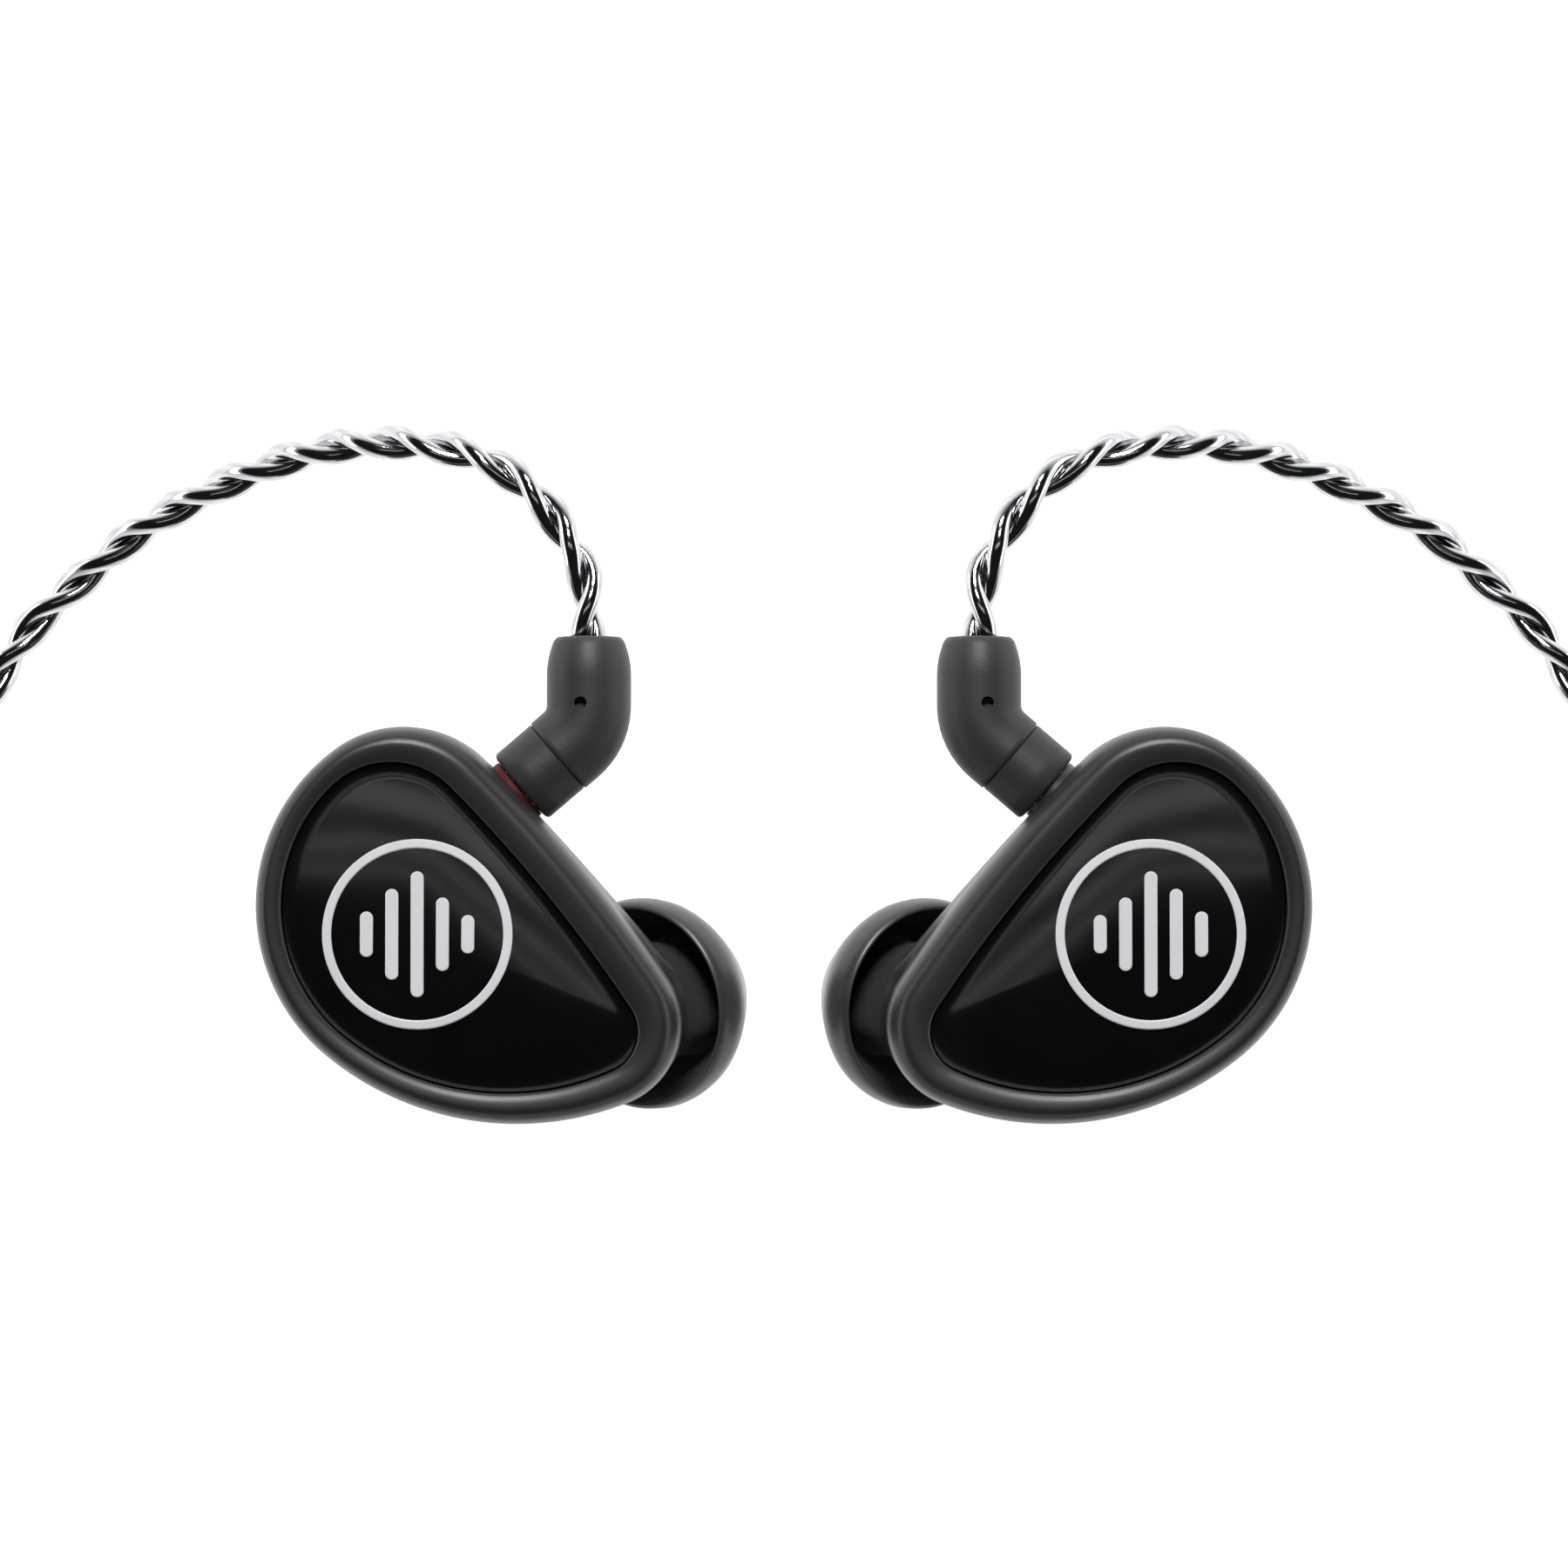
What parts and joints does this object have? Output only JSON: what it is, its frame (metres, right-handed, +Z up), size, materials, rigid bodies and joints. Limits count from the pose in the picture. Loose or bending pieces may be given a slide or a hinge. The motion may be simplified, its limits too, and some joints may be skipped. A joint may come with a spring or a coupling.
{
  "type": "in-ear monitors",
  "caption": "Pair of wired in-ear monitors with domed faceplates, angled nozzles with silicone tips, detachable two-pin elbow plugs and a twisted cable ending in a 3.5 mm plug.",
  "frame": {"origin": "on the table, below the centre of the two earpieces and their elbows", "axes": "+Z up through the faceplates, +X towards the left earpiece, +Y from the earpieces towards the elbows"},
  "size_m": [0.1014, 0.0981, 0.0205],
  "materials": {
    "shell": "satin",
    "faceplate": "gloss",
    "emblem": "satin",
    "nozzle": "satin",
    "screen": "fine mesh",
    "silicone": "satin",
    "socket": "matte",
    "contact": "polished",
    "marker_red": "satin",
    "marker_dark": "satin",
    "driver_brass": "satin",
    "membrane": "thin film",
    "copper": "wound wire",
    "magnet": "plated",
    "driver_can": "satin",
    "clear_tube": "clear",
    "damper": "mesh",
    "board": "solder mask",
    "wire": "enamel",
    "connector": "matte soft touch",
    "cable": "clear jacket over silver strands"
  },
  "bodies": {
    "cable": {"right_lead": "cable", "left_lead": "cable", "leads_hank": "cable", "hank_strap": "connector", "splitter": "connector", "main_lead": "cable", "main_hank": "cable", "plug_boot": "connector", "plug_barrel": "connector", "jack_contacts": "contact", "jack_insulators": "socket", "right_elbow": "connector", "right_elbow_collar": "connector", "right_plug_pins": "contact", "left_elbow": "connector", "left_elbow_collar": "connector", "left_plug_pins": "contact"},
    "right_earpiece": {"right_front_shell": "shell", "right_rear_shell": "shell", "right_faceplate": "faceplate", "right_emblem": "emblem", "right_nozzle": "nozzle", "right_nozzle_screen": "screen", "right_socket_block": "socket", "right_socket_ring": "marker_red", "right_socket_contacts": "contact", "right_driver_frame": "driver_brass", "right_diaphragm": "membrane", "right_voice_coil": "copper", "right_driver_magnet": "magnet", "right_driver_yoke": "magnet", "right_armature_driver": "driver_can", "right_sound_tube": "clear_tube", "right_damper": "damper", "right_crossover_board": "board", "right_hookup_wires": "wire"},
    "left_earpiece": {"left_front_shell": "shell", "left_rear_shell": "shell", "left_faceplate": "faceplate", "left_emblem": "emblem", "left_nozzle": "nozzle", "left_nozzle_screen": "screen", "left_socket_block": "socket", "left_socket_ring": "marker_dark", "left_socket_contacts": "contact", "left_driver_frame": "driver_brass", "left_diaphragm": "membrane", "left_voice_coil": "copper", "left_driver_magnet": "magnet", "left_driver_yoke": "magnet", "left_armature_driver": "driver_can", "left_sound_tube": "clear_tube", "left_damper": "damper", "left_crossover_board": "board", "left_hookup_wires": "wire"},
    "right_ear_tip": {"right_ear_tip": "silicone"},
    "left_ear_tip": {"left_ear_tip": "silicone"},
    "chin_slider": {"chin_slider": "connector"}
  },
  "joints": [
    {"name": "right_unplug", "type": "slide", "parent": "cable", "child": "right_earpiece", "axis": [-0.7604, -0.6494, 0], "range_m": [0, 0.006]},
    {"name": "left_unplug", "type": "slide", "parent": "cable", "child": "left_earpiece", "axis": [0.7604, -0.6494, 0], "range_m": [0, 0.006]},
    {"name": "right_tip_off", "type": "slide", "parent": "right_earpiece", "child": "right_ear_tip", "axis": [0.5327, 0.1132, -0.8387], "range_m": [0, 0.0052]},
    {"name": "left_tip_off", "type": "slide", "parent": "left_earpiece", "child": "left_ear_tip", "axis": [-0.5327, 0.1132, -0.8387], "range_m": [0, 0.0052]},
    {"name": "slider_move", "type": "slide", "parent": "cable", "child": "chin_slider", "axis": [1, 0, 0], "range_m": [-0.002, 0.0035]}
  ]
}
